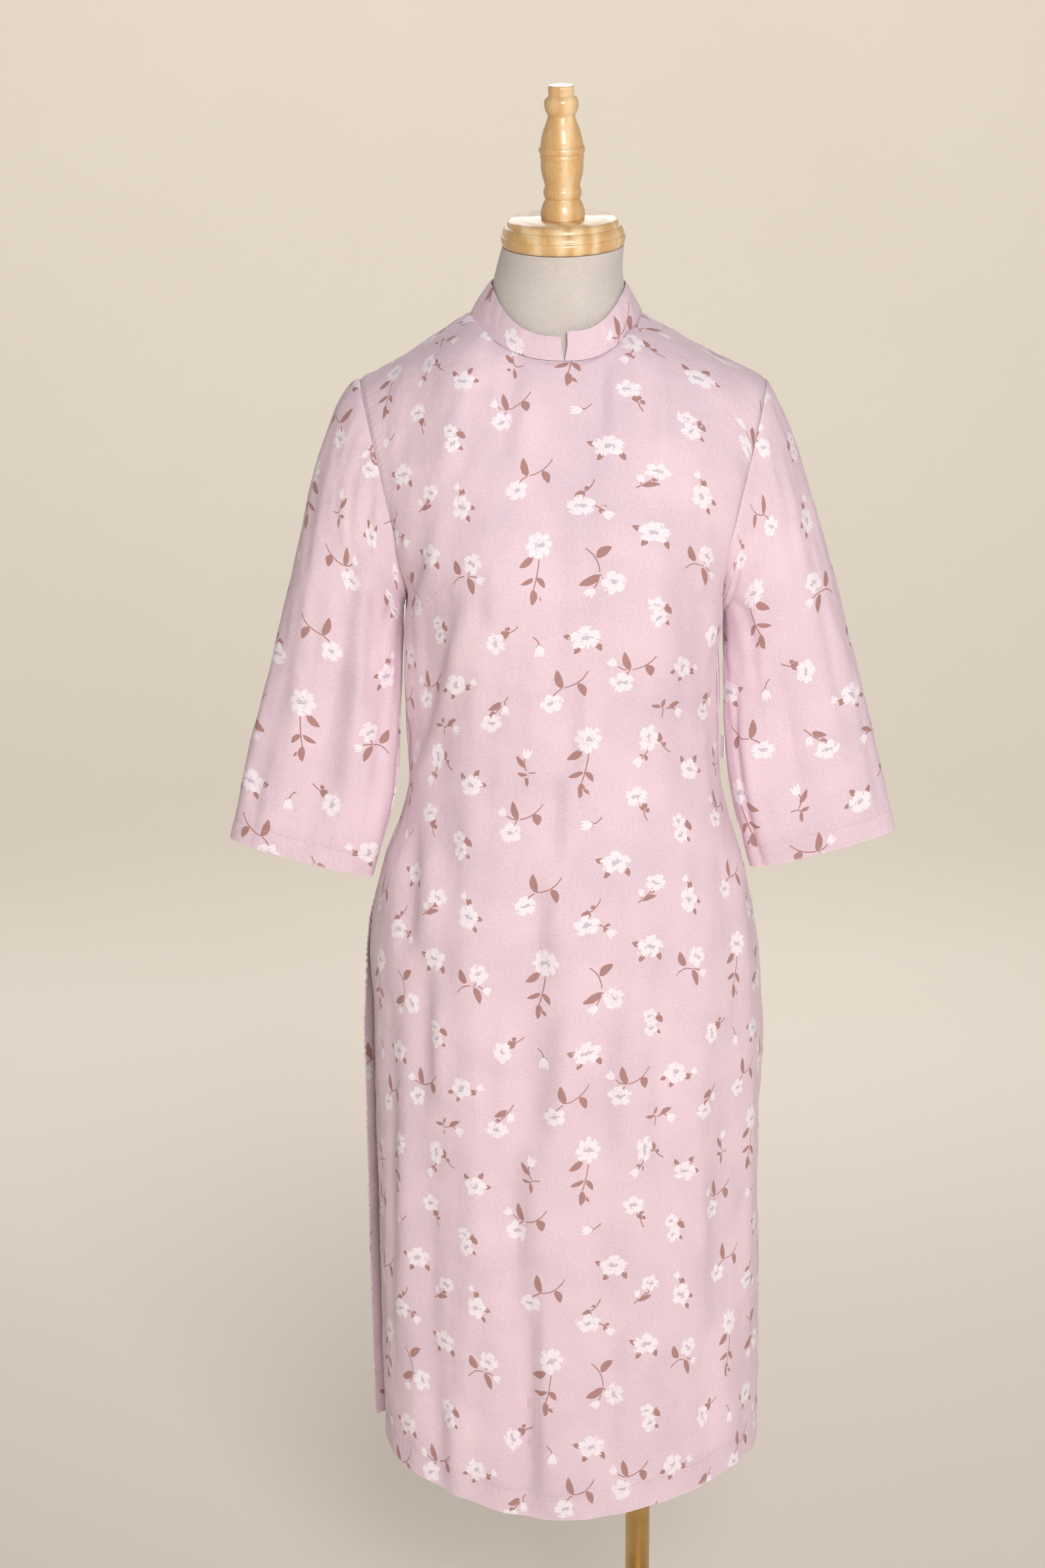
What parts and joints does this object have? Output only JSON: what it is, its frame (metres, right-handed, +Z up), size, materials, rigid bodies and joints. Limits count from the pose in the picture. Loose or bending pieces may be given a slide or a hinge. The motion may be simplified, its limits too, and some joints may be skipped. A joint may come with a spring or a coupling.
{
  "type": "ao dai tunic on dress form",
  "caption": "Straight ao dai tunic in small-flowered cloth with stand collar, flared three-quarter sleeves and side slits, on a limbless dress form with a pole stand.",
  "frame": {"origin": "on the floor, at the middle of the underside of the stand's round base, under its pole", "axes": "+Z up; -Y the way the tunic's front faces; +X to the wearer's left"},
  "size_m": [0.653, 0.32, 1.6356],
  "materials": {
    "blossom_cloth": "matt washed twill with small white flowers",
    "form_jersey": "fine knit cover",
    "turned_wood": "clear gloss lacquer",
    "board_wood": "bare",
    "pole_brass": "polished",
    "label_satin": "woven satin, blank",
    "button_shell": "pearly"
  },
  "bodies": {
    "root": {"front_panel": "blossom_cloth", "back_left": "blossom_cloth", "back_right": "blossom_cloth", "sleeve_left": "blossom_cloth", "sleeve_right": "blossom_cloth", "collar_left": "blossom_cloth", "collar_right": "blossom_cloth", "button_loop": "blossom_cloth", "button": "button_shell", "label": "label_satin", "torso": "form_jersey", "bottom_board": "board_wood", "neck_cap": "turned_wood", "finial": "turned_wood", "pole": "pole_brass", "pole_socket": "pole_brass", "base_hub": "pole_brass", "base": "pole_brass"}
  },
  "joints": []
}
